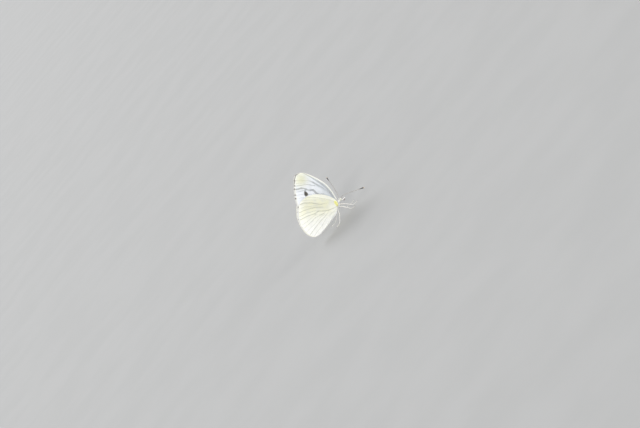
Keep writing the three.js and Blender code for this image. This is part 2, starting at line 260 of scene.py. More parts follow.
def threes(items, key, kind=float):
    """A property of a mesh's items, three numbers in each row."""
    values = np.empty(len(items) * 3, kind)
    items.foreach_get(key, values)
    return values.reshape(-1, 3)


def set_marks(mesh, marks):
    """Gives every vertex its value of each measure that the colours follow."""
    for name, values in marks.items():
        layer = mesh.attributes.new(name, "FLOAT", "POINT")
        layer.data.foreach_set("value", values.astype(np.float32))


def ramp(value, low, high):
    """0 below low, 1 above high and smooth between them."""
    t = np.clip((np.asarray(value, float) - low) / (high - low), 0, 1)
    return t * t * (3 - 2 * t)


def steps(count):
    return np.linspace(0, 1, count)


def lerp(a, b, t):
    return a + (b - a) * t


def length_of(vectors):
    return np.linalg.norm(vectors, axis=-1)


def unit(vectors):
    return vectors / np.maximum(length_of(vectors)[..., None], 1e-9)


def turned(vectors, axis, angle):
    """Vectors turned about an axis, each by its own angle."""
    c, s = np.cos(angle)[:, None], np.sin(angle)[:, None]
    return vectors * c + np.cross(axis, vectors) * s + axis * (axis * vectors).sum(1, keepdims=True) * (1 - c)


def spline(points, t):
    """Points along a smooth curve through the given ones, with t from 0 to 1."""
    points = np.asarray(points, float)
    last = len(points) - 1
    t = np.clip(np.asarray(t, float), 0, 1) * last
    i = np.minimum(t.astype(int), last)
    w = (t - i)[..., None]
    a, b, c, d = (points[np.clip(i + k, 0, last)] for k in (-1, 0, 1, 2))
    before, after = (c - a) / 2, (d - b) / 2
    cubic, square = 2 * b - 2 * c + before + after, 3 * c - 3 * b - 2 * before - after
    return cubic * w**3 + square * w**2 + before * w + b


def smooth_path(places, side, count):
    """count points along a smooth curve through places."""
    return spline(np.array([at(side, p) for p in places]), steps(count))


def tube(bm, points, radii, sides):
    """Adds a round closed tube along points, with a radius for each."""
    curve = bpy.data.curves.new("tube", "CURVE")
    curve.dimensions = "3D"
    curve.bevel_depth = 1.0
    curve.bevel_resolution = max(0, sides // 2 - 2)
    curve.use_fill_caps = True
    line = curve.splines.new("POLY")
    line.points.add(len(points) - 1)
    for knot, point, radius in zip(line.points, points, radii):
        knot.co = (*point, 1)
        knot.radius = radius
    holder = bpy.data.objects.new("tube", curve)
    mesh = bpy.data.meshes.new_from_object(holder)
    bm.from_mesh(mesh)
    bmesh.ops.remove_doubles(bm, verts=bm.verts, dist=1e-6)
    bpy.data.objects.remove(holder)
    bpy.data.curves.remove(curve)
    bpy.data.meshes.remove(mesh)


def tube_mesh(runs, sides):
    """Tubes in one mesh, each given as its points and radii."""
    bm = bmesh.new()
    for points, radii in runs:
        tube(bm, points, radii, sides)
    return to_mesh(bm)


def pose_of(shape, side):
    """The turn and place of a rounded part."""
    turn = Matrix.Rotation(math.radians(-shape["pitch"]), 4, "X")
    return Matrix.Translation(at(side, shape["centre"])) @ turn


def egg(shape, side):
    """What turns a ball of radius 1 into a rounded part."""
    return pose_of(shape, side) @ Matrix.Diagonal((*shape["half"], 1))


# ---- shader graphs ----


class Wire:
    """A shader socket that can stand in a Python expression."""

    def __init__(self, graph, socket):
        self.graph, self.socket = graph, socket

    def math(self, operation, *values):
        return self.graph.node("Math", {"operation": operation}, *values)

    def __add__(self, other):
        return self.math("ADD", self, other)

    def __sub__(self, other):
        return self.math("SUBTRACT", self, other)

    def __rsub__(self, other):
        return self.math("SUBTRACT", other, self)

    def __mul__(self, other):
        return self.math("MULTIPLY", self, other)

    def step(self, low, high):
        settings = {"interpolation_type": "SMOOTHSTEP"}
        return self.graph.node("MapRange", settings, self, low, high, 0.0, 1.0)


class Graph:
    """The node tree of one material, ended by a Principled shader."""

    def __init__(self, name, specular, **constants):
        self.material = bpy.data.materials.new(name)
        self.material.use_nodes = True
        self.tree = self.material.node_tree
        self.shader = self.tree.nodes["Principled BSDF"]
        for socket, value in {"Specular IOR Level": specular, **constants}.items():
            self.shader.inputs[socket.replace("_", " ")].default_value = value

    def node(self, kind, settings, *values, output=0, **named):
        """Adds a node with its settings, and the values or links of its sockets. Returns one output."""
        made = self.tree.nodes.new(f"ShaderNode{kind}")
        for key, value in settings.items():
            setattr(made, key, value)
        live = [s for s in made.inputs if s.enabled]
        for socket, value in [*zip(live, values), *((made.inputs[k], v) for k, v in named.items())]:
            if isinstance(value, Wire):
                self.tree.links.new(value.socket, socket)
            else:
                socket.default_value = value
        outputs = [s for s in made.outputs if s.enabled]
        return Wire(self, outputs[output] if isinstance(output, int) else made.outputs[output])

    def __getitem__(self, name):
        """A measure that the mesh carries."""
        return self.node("Attribute", {"attribute_name": name}, output="Fac")

    def place(self, scale=1.0):
        """Object coordinates in millimetres, times a scale."""
        where = self.node("TexCoord", {}, output="Object")
        return self.node("VectorMath", {"operation": "MULTIPLY"}, where, (1000 * scale,) * 3)

    def noise(self, scale, detail=3.0, where=None):
        return self.node("TexNoise", {}, where or self.place(), scale, detail, output="Fac")

    def cells(self, scale, output="Distance", where=None):
        """Cells of a random honeycomb: their distance or their colour."""
        return self.node("TexVoronoi", {}, where or self.place(), Scale=scale, output=output)

    def paint(self, colour, *layers):
        """A colour with layers over it, each given as how much of it shows and its colour."""
        for share, over in layers:
            pair = (c if isinstance(c, Wire) else (*c, 1.0) for c in (colour, over))
            colour = self.node("Mix", {"data_type": "RGBA"}, share, *pair)
        return colour

    def surface(self, colour, roughness, height=None, depth=0.02, strength=1.0):
        """Links the colour, roughness and relief. depth is the relief's height in millimetres."""
        ends = {"Base Color": colour, "Roughness": roughness}
        if height:
            relief = {"Strength": strength, "Distance": depth * MM, "Height": height}
            ends["Normal"] = self.node("Bump", {}, **relief)
        for name, wire in ends.items():
            self.tree.links.new(wire.socket, self.shader.inputs[name])
        return self.material


# ---- materials ----

# Ground, pale parts, dusted lines and shaded parts of each wing's underside. The hindwing's shaded part is
# painted shade, lavender-grey where its inner margin folds round under the body; the forewing's is blue-grey
# along the radius and in the base of the cell.
UNDER_COLOURS = {
    "forewing": ((0.775, 0.805, 0.855), (0.85, 0.86, 0.73), (0.26, 0.28, 0.3), (0.42, 0.46, 0.5)),
    "hindwing": ((0.82, 0.81, 0.58), (0.98, 0.98, 0.9), (0.44, 0.44, 0.34), (0.6, 0.62, 0.68)),
}
APEX_CREAM, ROOT_YELLOW, CHARCOAL = (0.57, 0.57, 0.37), (0.92, 0.87, 0.18), (0.045, 0.04, 0.038)
BODY_WHITE, BODY_SLATE = (0.97, 0.965, 0.95), (0.44, 0.45, 0.46)
SCALE_ROWS, SCALES_IN_ROW = 240, 360  # along and across a wing


def wing_material(kind, face, pattern, speck, roughness):
    """One side of a wing: the scales lie in rows and vary its pattern a little. Light passes through it."""
    thin = {"Subsurface_Weight": 0.5, "Subsurface_Radius": (0.9, 0.87, 0.78), "Subsurface_Scale": 0.0005}
    graph = Graph(f"{kind}_{face}", 0.25, **thin)
    row = graph["out"] * SCALE_ROWS + graph.noise(0.7, 2.0) * 3.0
    where = graph.node("CombineXYZ", {}, row, graph["across"] * SCALES_IN_ROW, 0.0)
    tiles = graph.cells(1.0, "Color", where)
    lottery, tone = (graph.node("SeparateColor", {}, tiles, output=c) for c in ("Red", "Green"))
    colour = graph.paint(pattern(graph, kind, graph.noise(0.3), lottery), (tone * 0.1, speck))
    height = graph.cells(1.0, where=where) * -1
    return graph.surface(colour, graph.noise(2.0) * 0.2 + roughness, height, depth=0.025, strength=0.45)


def underside(graph, kind, soft, lottery):
    """Dusted lines, spots and patches. lottery is a random number for each scale."""
    ground, pale, line, shade = UNDER_COLOURS[kind]
    dust = (graph["dust"] * 1.3 - lottery * 0.45).step(-0.05, 0.7)
    mark = (graph["spot"] + lottery * 0.45 - 0.22).step(0.3, 0.62)
    if kind == "hindwing":
        patch = (graph["yellow"] - lottery * 0.25).step(0.1, 0.8) * 0.95, ROOT_YELLOW
    else:
        patch = graph["yellow"] * 0.72, APEX_CREAM
    # on the hindwing this lays painted shade into the fold of the inner margin
    shaded = graph["shade"] * (soft * 0.6 + 0.45) - lottery * 0.12
    clouded = (graph["pale"], pale), (soft.step(0.4, 0.7) * 0.22, shade), (shaded, shade)
    return graph.paint(ground, *clouded, (dust * 0.85, line), (mark, CHARCOAL), patch)


def upperside(graph, kind, soft, lottery):
    """White, with a grey root, and dark tip and spots."""
    cloud = soft.step(0.4, 0.7) * 0.3, (0.8, 0.81, 0.8)
    root = ((1 - graph["reach"].step(1.0, 5.5)) * 1.1 - lottery * 0.7).step(-0.1, 0.4), (0.22, 0.23, 0.24)
    dust = graph["dust"] * (0.25 if kind == "hindwing" else 0.45), (0.3, 0.3, 0.3)
    dark = (graph["black"] + lottery * 0.4 - 0.2).step(0.4, 0.65) * 0.75, CHARCOAL
    return graph.paint((0.87, 0.87, 0.83), cloud, root, dust, dark)


def vein_material(kind, base, dark):
    graph = Graph(f"{kind}_veins", 0.3)
    patch = graph.noise(1.2)
    colour = graph.paint(base, (patch.step(0.35, 0.7), dark), (graph["edge"], (0.95, 0.94, 0.84)))
    return graph.surface(colour, patch * 0.2 + 0.55, graph.cells(9.0))


def fringe_material(kind, base, dark):
    graph = Graph(f"{kind}_fringe", 0.25)
    shade = graph["shade"]
    dust = (graph["dust"] - shade * 0.7).step(-0.05, 0.1) * 0.8
    colour = graph.paint(base, (shade * 0.3, tuple(c * 0.8 for c in base)), (dust, dark))
    return graph.surface(colour, shade * 0.15 + 0.6)


def body_colour(graph):
    """White below and at the sides, slate grey along the back."""
    patch = graph.noise(1.4, 4.0)
    back = (graph["backside"] + patch * 0.4 - 0.2).step(0.6, 0.98)
    front = graph["along_body"].step(0.0, 0.12)
    return graph.paint(BODY_WHITE, (back * (front * 0.35 + 0.35), BODY_SLATE)), patch


def skin_material():
    graph = Graph("body_skin", 0.3)
    colour, patch = body_colour(graph)
    colour = graph.paint(colour, (patch.step(0.3, 0.7) * 0.25, (0.5, 0.49, 0.47)))
    return graph.surface(colour, patch * 0.2 + 0.6, graph.cells(7.0), depth=0.03)


def hair_material():
    graph = Graph("body_hair", 0.35, Sheen_Weight=0.2)
    colour, shade = body_colour(graph)[0], graph["shade"]
    root = (1 - graph["along"]) * 0.05, (0.6, 0.58, 0.56)
    dark = shade.step(0.94, 0.98) * 0.4, (0.3, 0.29, 0.27)
    white = (1 - shade).step(0.4, 1.0) * 0.7, BODY_WHITE
    return graph.surface(graph.paint(colour, root, dark, white), shade * 0.2 + 0.5)


def eye_material():
    """Pale green-grey facets with a few soft dark spots."""
    graph = Graph("eye_facets", 0.6, Coat_Weight=0.6, Coat_Roughness=0.08)
    facets, cloud = graph.cells(11.0), graph.noise(1.6, 2.0)
    light = cloud.step(0.35, 0.65), (0.82, 0.81, 0.74)
    specks = (1 - graph.cells(2.1).step(0.12, 0.3)) * 0.65, (0.12, 0.13, 0.08)
    edges = facets.step(0.3, 0.6) * 0.3, (0.3, 0.31, 0.2)
    colour = graph.paint((0.7, 0.7, 0.6), light, specks, edges)
    return graph.surface(colour, cloud * 0.1 + 0.2, facets * -1, depth=0.012, strength=0.6)


def antenna_material():
    """Pale rings on a brown shaft, and a dark club with a tan end."""
    graph = Graph("antenna_rings", 0.4)
    length, speckle = graph["length"], graph.noise(9.0, 2.0)
    wave = length.math("COSINE", length * (math.tau * FEELER_RINGS) + 0.9)
    rings = (wave + speckle * 0.7 - 0.35).step(-0.1, 0.35) * (1 - length.step(0.8, 0.86)) * 0.92
    club = length.step(0.82, 0.88), (0.03, 0.024, 0.02)
    end = length.step(0.955, 0.972), (0.75, 0.6, 0.4)
    colour = graph.paint((0.1, 0.075, 0.055), (rings, (0.76, 0.74, 0.68)), club, end)
    return graph.surface(colour, speckle * 0.2 + 0.45, speckle)


def leg_material(name, scaled):
    graph = Graph(name, 0.35)
    patch = graph.noise(3.0)
    layers = [(patch.step(0.35, 0.65), (0.68, 0.64, 0.55))]
    if scaled:
        layers.append((0.95 - graph["along_leg"].step(0.35, 0.9) * 0.3, (0.92, 0.91, 0.88)))
        layers.append((graph["shade"].step(0.9, 0.97) * 0.5, (0.25, 0.2, 0.15)))
    colour = graph.paint((0.84, 0.82, 0.75), *layers)
    return graph.surface(colour, patch * 0.2 + 0.45, graph.noise(14.0), depth=0.015)


def dark_material(name, colour, other, roughness):
    graph = Graph(name, 0.5)
    patch = graph.noise(6.0)
    return graph.surface(graph.paint(colour, (patch, other)), patch * 0.15 + roughness, patch, depth=0.01)


SHEET = {
    kind: [
        wing_material(kind, "underside", underside, (0.55, 0.55, 0.5), 0.62),
        wing_material(kind, "upperside", upperside, (0.5, 0.5, 0.48), 0.6),
    ]
    for kind in SPREADS
}
VEIN = {
    "forewing": vein_material("forewing", (0.74, 0.76, 0.78), (0.5, 0.52, 0.54)),
    "hindwing": vein_material("hindwing", (0.7, 0.69, 0.56), (0.55, 0.55, 0.44)),
}
FRINGE = {
    "forewing": fringe_material("forewing", (0.88, 0.88, 0.84), (0.2, 0.19, 0.18)),
    "hindwing": fringe_material("hindwing", (0.9, 0.89, 0.8), (0.5, 0.48, 0.4)),
}
SKIN, HAIR = skin_material(), hair_material()
LEG_SKIN, LEG_SCALE = leg_material("leg_skin", False), leg_material("leg_scales", True)
CLAW = dark_material("claw", (0.03, 0.02, 0.015), (0.08, 0.05, 0.03), 0.3)
COIL = dark_material("tongue_coil", (0.2, 0.13, 0.085), (0.1, 0.065, 0.045), 0.35)
EYE_LENS, ANTENNA = eye_material(), antenna_material()


# ---- wings ----


class Wing:
    """The surface of one wing, with its veins."""

    def __init__(self, kind, side_name, outline, veins, folds):
        self.kind, self.name, self.side = kind, f"{kind}_{side_name}", SIDES[side_name]
        self.outline, self.veins, self.folds = outline, veins, folds
        self.hind = kind == "hindwing"

    def plan(self, out, across):
        """The (forward, up) of points given by out and across."""
        costa, margin, inner = (np.array(self.outline[line]) for line in ("costa", "margin", "inner"))
        u, v = out[..., None], across[..., None]
        root, tip = lerp(costa[0], inner[0], v), lerp(margin[0], margin[-1], v)
        sheet = lerp(spline(costa, out), spline(inner, out), v)
        return sheet + lerp(root, spline(margin, across), u) - lerp(root, tip, u)

    def reach(self, plan):
        return length_of(plan - np.array(self.outline["root"]))

    def spread(self, plan, out, across):
        """How far each point stands out from the midline."""
        sizes, reach = SPREADS[self.kind], self.reach(plan)
        settled = ramp(reach, 0, sizes["hinge"])
        slope = (sizes["tip"] - sizes["beside"]) / (sizes["reach"] - FLARE)
        bulge = CAMBER * np.sin(math.pi * np.clip(reach / SPREADS["forewing"]["reach"], 0, 1))
        high = lerp(sizes["root"], sizes["beside"], settled) + slope * np.maximum(0, reach - FLARE) + bulge
        if not self.hind:
            return high
        rear_side = lerp(sizes["inner"], sizes["tornus"], ramp(reach, 12, sizes["reach"]))
        low = lerp(sizes["root"], rear_side, settled)
        side = lerp(high, low, ramp(across, LEAN, 1))
        to_edge = length_of(plan - spline(self.outline["inner"], out))
        down = np.clip(1 - to_edge / KEEL["height"], 0, 1)
        rear = -plan[..., 0]
        hold = ramp(rear, KEEL["from"], KEEL["full"])
        hold = hold * (1 - 0.75 * ramp(rear, KEEL["fade"], KEEL["end"]))
        return side - hold * (side - KEEL["edge"]) * (1 - np.sqrt(1 - down * down))

    def centre(self, out, across):
        plan = self.plan(out, across)
        spread = self.spread(plan, out, across)
        return np.stack([self.side * spread, -plan[..., 0], plan[..., 1]], -1)

    def normal(self, out, across):
        """The direction away from the body."""
        step = 0.004
        u, v = np.clip(out, 0.01, 0.99), np.clip(across, 0.01, 0.99)
        along_out = self.centre(u + step, v) - self.centre(u - step, v)
        along_across = self.centre(u, v + step) - self.centre(u, v - step)
        return unit(-self.side * np.cross(along_out, along_across))

    def vein_lines(self):
        for _, _, knots in self.veins.values():
            where = np.clip(spline(knots, steps(40)), 0, 1)
            yield where[:, 0], where[:, 1]

    def gap_to(self, plan, out, across):
        """Each point's distance to the line through the given ones, and how far along it that is."""
        line = self.plan(out, across)
        start, run = line[:-1], np.diff(line, axis=0)
        flat = plan.reshape(-1, 1, 2)
        share = np.clip(((flat - start) * run).sum(-1) / np.maximum((run * run).sum(-1), 1e-9), 0, 1)
        gaps = length_of(flat - start - share[..., None] * run)
        nearest = gaps.argmin(1)
        rows = np.arange(len(gaps))
        along = (nearest + share[rows, nearest]) / len(run)
        return gaps[rows, nearest].reshape(plan.shape[:-1]), along.reshape(plan.shape[:-1])

    def vein_gaps(self, plan):
        """The distance from each point to each vein."""
        return np.array([self.gap_to(plan, *line)[0] for line in self.vein_lines()])

    def relief(self, gaps, out):
        """The pleats: high along the veins and low along the folds between them."""
        first, second = np.sort(gaps, axis=0)[:2]
        wave = np.cos(math.pi * np.clip(2 * first / (first + second + 1e-6), 0, 1))
        return PLEAT * wave * ramp(second, 0.1, 1.2) * ramp(out, 0.02, 0.25) * (1 - 0.5 * out)

    def waves(self, out, across):
        """Slow unevenness of the whole sheet."""
        turn = 1.7 if self.side == LEFT else 0.0
        slow = np.sin(9 * out + 5 * across + turn) * np.sin(12 * across - 4 * out + 2 * turn)
        fine = np.sin(31 * across + 6 * out + turn) * np.sin(17 * out - 8 * across)
        return (0.075 * slow + 0.02 * fine) * ramp(out, 0.15, 0.6)

    def surface(self, out, across):
        gaps = self.vein_gaps(self.plan(out, across))
        lift = self.relief(gaps, out) + self.waves(out, across)
        return self.centre(out, across) + self.normal(out, across) * lift[..., None]


def spot(plan, centre, width, height, turn, blunt=0.0):
    """1 inside an oval mark, falling through 0.5 at its edge. blunt makes it a little three-cornered."""
    forward, up = plan[..., 0] - centre[0], plan[..., 1] - centre[1]
    c, s = math.cos(turn), math.sin(turn)
    right, high = (forward * c + up * s) / width, (up * c - forward * s) / height
    size = np.hypot(right, high) * (1 - blunt * np.sin(3 * np.arctan2(high, right)))
    return np.clip(1.5 - size, 0, 1)


def near(gap, width):
    """1 at a line, fading away over a width."""
    return np.exp(-((gap / width) ** 2))


def near_vein(wing, gaps, names, width):
    return near(gaps[[list(wing.veins).index(name) for name in names]].min(0), width)


def wing_marks(wing, out, across):
    """The measures that the wing's colours follow, one value for each point."""
    plan = wing.plan(out, across)
    gaps, reach = wing.vein_gaps(plan), wing.reach(plan)
    clear = np.ones_like(out)
    lines = [(strength, VEIN_DUST, knots) for strength, _, knots in wing.veins.values()] + wing.folds
    for strength, width, knots in lines:
        line = np.clip(spline(knots, steps(30)), 0, 1)
        gap, along = wing.gap_to(plan, line[:, 0], line[:, 1])
        fade = lerp(0.15, 1, ramp(along, 0, 0.35)) if knots[0][0] < 0.5 else 1
        clear *= 1 - 0.9 * strength * fade * near(gap, width)
    marks = {"dust": 1 - clear, "reach": reach, "out": out, "across": across}
    ends = near(gaps.min(0), lerp(0.12, 0.5, ramp(out, 0.88, 1))) * ramp(out, 0.88, 0.94)
    if wing.hind:
        marks["yellow"] = np.clip(spot(plan, *YELLOW_PATCH) * 1.7, 0, 1) * (1 - ramp(reach, 3.6, 5.0))
        rear_part = ramp(across * 0.8 + out * 0.35, 0.52, 0.9)
        front_part = 0.45 * (1 - ramp(across, 0.06, 0.32)) * (1 - ramp(out, 0.6, 0.95))
        root_part = 0.55 * (1 - ramp(reach, 3.5, 7.0))
        tip_part = 0.6 * ramp(out, 0.78, 1.0) * (1 - ramp(across, 0.25, 0.6))
        marks["pale"] = np.maximum.reduce([rear_part, front_part, root_part, tip_part])
        marks["spot"] = np.zeros_like(out)
        # painted shade: lavender-grey where the inner margin folds round under the abdomen
        marks["shade"] = ramp(across, 0.8, 1.0) * (1 - ramp(out, 0.3, 0.75))
        marks["black"] = np.maximum(spot(plan, *HIND_SPOT), ends * 0.45)
    else:
        marks["yellow"] = near(length_of(plan - CREAM_TIP), CREAM_REACH)
        tip = ramp(out, 0.7, 0.9) * (1 - ramp(across, 0.28, 0.5))
        marks["pale"] = np.maximum(near_vein(wing, gaps, ["costa"], 0.75), tip * 0.8)
        stem = near_vein(wing, gaps, ["radius", "radius_1"], 0.8) * ramp(out, 0.08, 0.2)
        stem = stem * (1 - ramp(out, 0.5, 0.75))
        cell = (1 - ramp(out, 0.2, 0.6)) * ramp(across, 0.06, 0.2)
        marks["shade"] = np.clip(0.95 * stem + 1.1 * cell, 0, 1)
        marks["spot"] = np.maximum(*(spot(plan, *mark) for mark in FORE_SPOTS))
        corner = ramp(out + 0.25 * (1 - across) ** 2, 1.02, 1.14) * (1 - ramp(across, 0.3, 0.5))
        marks["black"] = np.maximum.reduce([corner, ends, marks["spot"]])
    return marks


def wing_sheet(wing):
    bm = bmesh.new()
    bmesh.ops.create_grid(bm, x_segments=WING_GRID[0], y_segments=WING_GRID[1], size=0.5)
    if wing.side == LEFT:
        bmesh.ops.reverse_faces(bm, faces=bm.faces)
    mesh = to_mesh(bm)
    out, across = (np.clip(column + 0.5, 0, 1) for column in threes(mesh.vertices, "co").T[:2])
    mesh.vertices.foreach_set("co", wing.surface(out, across).ravel())
    set_marks(mesh, wing_marks(wing, out, across))
    piece = finish_piece(f"{wing.name}_sheet", mesh, SHEET[wing.kind], [wing.name])
    thick = piece.modifiers.new("membrane", "SOLIDIFY")
    thick.thickness, thick.offset = MEMBRANE * MM, 0
    thick.material_offset, thick.use_even_offset = 1, True


def wing_veins(wing):
    """The tubes of the veins. The first one, the costa, is the pale leading edge."""
    bm = bmesh.new()
    leading = 0
    for (out, across), (_, start, _) in zip(wing.vein_lines(), wing.veins.values()):
        line = wing.surface(out, across)
        t = steps(len(line))
        far = out * 0.75 + 0.25 * t
        radii = start * 0.66 * (1 - 0.6 * far) * np.clip(np.minimum(t, 1 - t) * 30 + 0.35, 0, 1)
        tube(bm, line, radii, 8)
        leading = leading or len(bm.verts)
    mesh = to_mesh(bm)
    set_marks(mesh, {"edge": np.arange(len(mesh.vertices)) < leading})
    finish_piece(f"veins_{wing.name}", mesh, [VEIN[wing.kind]])


# ---- tufts: hairs and scales as closed spikes ----

# The faces of a spike of seven corners: three round the root, three round the belly, and the tip. Then where
# the corners are on the map, from 0 to 1 round and along the spike.
SPIKE = ((0, 1, 2), (0, 3, 4, 1), (1, 4, 5, 2), (2, 5, 3, 0), (3, 6, 4), (4, 6, 5), (5, 6, 3))
SPIKE_MAP = ((0, 0), (1, 0), (0.5, 0.4), (0, 0.6), (1, 0.6), (0.5, 1), (0.5, 1))
SPIKE_ALONG = (0, 0, 0, 0.5, 0.5, 0.5, 1)
SPIKE_ON_MAP = 0.003


def tufts(name, slot, material, root, lie, normal, length, width, uv, marks, thick=0.6, bend=0.35):
    """Joins one closed three-sided spike for each root: it leaves along lie, and curls down by bend."""
    count = len(root)
    side = unit(np.cross(lie, normal))
    up = unit(np.cross(side, lie))
    length, width = length[:, None], np.broadcast_to(width, count)[:, None] / 2
    belly = root + lie * length * 0.45 + up * length * 0.12 * bend
    tip = root + lie * length - up * length * 0.3 * bend
    rows = []
    for middle, size in ((root, 0.75), (belly, 1.0)):
        half = side * width * size
        rows += [middle - half, middle + half, middle + up * width * size * thick * 2]
    points = np.stack([*rows, tip], 1).reshape(-1, 3)
    pattern, each = np.concatenate(SPIKE), np.arange(count)[:, None]
    loops = (each * len(SPIKE_MAP) + pattern).ravel()
    starts = (each * len(pattern) + np.cumsum([0, *map(len, SPIKE[:-1])])).ravel()
    mesh = bpy.data.meshes.new(name)
    mesh.vertices.add(len(points))
    mesh.vertices.foreach_set("co", points.ravel())
    mesh.loops.add(len(loops))
    mesh.loops.foreach_set("vertex_index", loops.astype(np.int32))
    mesh.polygons.add(len(starts))
    mesh.polygons.foreach_set("loop_start", starts.astype(np.int32))
    mesh.update(calc_edges=True)
    spread = uv[:, None] + (np.array(SPIKE_MAP) - 0.5) * SPIKE_ON_MAP
    layer = mesh.uv_layers.new(name="OFBake")
    layer.data.foreach_set("uv", spread.reshape(-1, 2)[loops].ravel())
    marks = {"shade": np.random.default_rng(count).random(count), **marks}
    set_marks(mesh, {key: np.repeat(values, len(SPIKE_MAP)) for key, values in marks.items()})
    set_marks(mesh, {"along": np.tile(SPIKE_ALONG, count)})
    finish_piece(name, mesh, [material]).data.shade_flat()


def wing_fringe(wing, seed):
    """The fine scales that stand out along the outer edge."""
    rng = np.random.default_rng(seed)
    across = rng.random(FRINGE_SCALES)
    out = 1 - FRINGE_STEP * (np.arange(FRINGE_SCALES) % FRINGE_ROWS)
    root, inside = wing.surface(out, across), wing.surface(out - 0.03, across)
    normal = wing.normal(out, across)
    lie = turned(unit(root - inside), normal, rng.normal(0, 0.12, FRINGE_SCALES))
    length = rng.uniform(0.3, 0.5, FRINGE_SCALES)
    gaps = wing.vein_gaps(wing.plan(out, across)).min(0)
    marks = {"dust": near(gaps, 0.22) * (0.25 if wing.hind else 0.6)}
    uv = np.stack([0.01 + 0.98 * across, 0.5 + 0.4 * (out - 0.99) * 30], -1)
    name, look = f"fringe_{wing.name}", FRINGE[wing.kind]
    tufts(name, wing.kind, look, root, lie, normal, length, 0.075, uv, marks, thick=0.12, bend=0.1)


# ---- body ----


def abdomen_radius(t):
    swell = lerp(ABDOMEN_WAIST, ABDOMEN_RADIUS, ramp(t, 0.02, 0.34))
    taper = lerp(1, ABDOMEN_TIP / ABDOMEN_RADIUS, ramp(t, 0.5, 1) ** 1.3)
    return swell * taper * (1 + 0.025 * np.cos(math.tau * ABDOMEN_RINGS * t))


def body_skin():
    """One mesh without a seam round the head, thorax and abdomen."""
    bm = bmesh.new()
    shapes = [(shape, LEFT) for shape in (THORAX, HEAD, NECK)]
    shapes += [(shape, side) for side in SIDES.values() for shape in SHOULDERS]
    for shape, side in shapes:
        bmesh.ops.create_uvsphere(bm, u_segments=32, v_segments=16, radius=1, matrix=egg(shape, side))
    line = smooth_path(ABDOMEN_LINE, LEFT, 60)
    radii = abdomen_radius(steps(len(line)))
    radii[-3:] *= (0.9, 0.7, 0.35)  # a round end
    tube(bm, line, radii, 24)
    piece = add_object("raw", to_mesh(bm))
    blend = piece.modifiers.new("one", "REMESH")
    blend.mode, blend.voxel_size = "VOXEL", SKIN_GRAIN
    soften = piece.modifiers.new("soften", "SMOOTH")
    soften.factor, soften.iterations = 0.5, 6
    graph = bpy.context.evaluated_depsgraph_get()
    skin = bpy.data.meshes.new_from_object(piece.evaluated_get(graph))
    bpy.data.objects.remove(piece)
    along, _, out = body_frame(threes(skin.vertices, "co"))
    set_marks(skin, body_marks(along, out))
    return skin


def body_frame(points):
    """How far back along the body points are, the way back there, and the direction out from its middle."""
    line = smooth_path(SPINE, LEFT, SPINE_STEPS)
    batches = np.array_split(points, len(points) // 4000 + 1)
    nearest = np.concatenate([length_of(part[:, None] - line).argmin(1) for part in batches])
    back = unit(np.gradient(line, axis=0))[nearest]
    return nearest / (SPINE_STEPS - 1), back, unit(points - line[nearest])


def body_marks(along, out):
    return {"backside": out[:, 2], "along_body": along}


def sample(mesh, count, rng, weight):
    """Random points on a mesh with their normals, more of them where weight is high."""
    mesh.calc_loop_triangles()
    tris = threes(mesh.loop_triangles, "vertices", np.int32)
    co, normals = threes(mesh.vertices, "co"), threes(mesh.vertex_normals, "vector")
    a, b, c = (co[tris[:, k]] for k in range(3))
    area = length_of(np.cross(b - a, c - a)) * weight((a + b + c) / 3)
    pick = rng.choice(len(tris), count, p=area / area.sum())
    u, v = rng.random((2, count))
    flip = u + v > 1
    u[flip], v[flip] = 1 - u[flip], 1 - v[flip]
    shares = np.stack([1 - u - v, u, v], 1)[..., None]
    return (co[tris[pick]] * shares).sum(1), unit((normals[tris[pick]] * shares).sum(1))


def eye_closeness(points, side):
    """The distance of points from an eye's middle, in eye radii."""
    local = np.array(pose_of(EYE, side).inverted()) @ np.c_[points, np.ones(len(points))].T
    return length_of(local[:3].T / np.array(EYE["half"]))


# Each coat: how far along the body it runs, which side of it (-1 below, 1 above), how many tufts, their
# shortest and longest, their width, how far they stand up in radians, and their thickness for their width.
COATS = {
    "coat_head": ((0.0, 0.15), (-1.01, 1.01), 18000, (0.25, 0.55), 0.042, 0.45, 0.22),
    "coat_thorax_above": ((0.15, 0.42), (-0.1, 1.01), 19000, (0.6, 1.2), 0.048, 0.32, 0.22),
    "coat_thorax_below": ((0.15, 0.42), (-1.01, -0.1), 19000, (0.4, 0.9), 0.056, 0.2, 0.18),
    "coat_abdomen": ((0.42, 1.0), (-1.01, 1.01), 19000, (0.22, 0.38), 0.075, 0.14, 0.18),
}
FACE_LIE = (0.0, -1.0, -0.35)  # the face's tufts lie forwards and down
EYE_BARE = 0.97  # nothing grows within this many eye radii of an eye's middle


def body_coat(name, skin, seed):
    (start, end), (lowest, highest), count, (short, long), width, stand, thick = COATS[name]
    rng = np.random.default_rng(seed)

    def weight(points):
        along, _, out = body_frame(points)
        bare = np.minimum(*(eye_closeness(points, side) for side in SIDES.values())) < EYE_BARE
        return (along >= start) & (along <= end) & (out[:, 2] >= lowest) & (out[:, 2] < highest) & ~bare

    root, normal = sample(skin, count, rng, weight)
    along, back, out = body_frame(root)
    back = unit(back - normal * (back * normal).sum(1, keepdims=True))
    if name == "coat_head":
        forward = unit(np.array([FACE_LIE]) - normal * (normal @ FACE_LIE)[:, None])
        back = unit(lerp(back, forward, ramp(-normal[:, 1], -0.2, 0.5)[:, None]))
    lift = stand * rng.uniform(0.6, 1.35, count)
    lie = unit(back * np.cos(lift)[:, None] + normal * np.sin(lift)[:, None])
    lie = turned(lie, normal, rng.normal(0, 0.2, count))
    length = rng.uniform(short, long, count)
    width = width * rng.uniform(0.7, 1.3, count)
    round_body = 0.5 + np.arctan2(out[:, 0], out[:, 2]) / math.tau * 0.96
    uv = np.stack([0.02 + 0.96 * along, round_body], -1)
    tufts(name, "coat", HAIR, root, lie, normal, length, width, uv, body_marks(along, out), thick)


# ---- eyes, antennae, mouth and legs ----


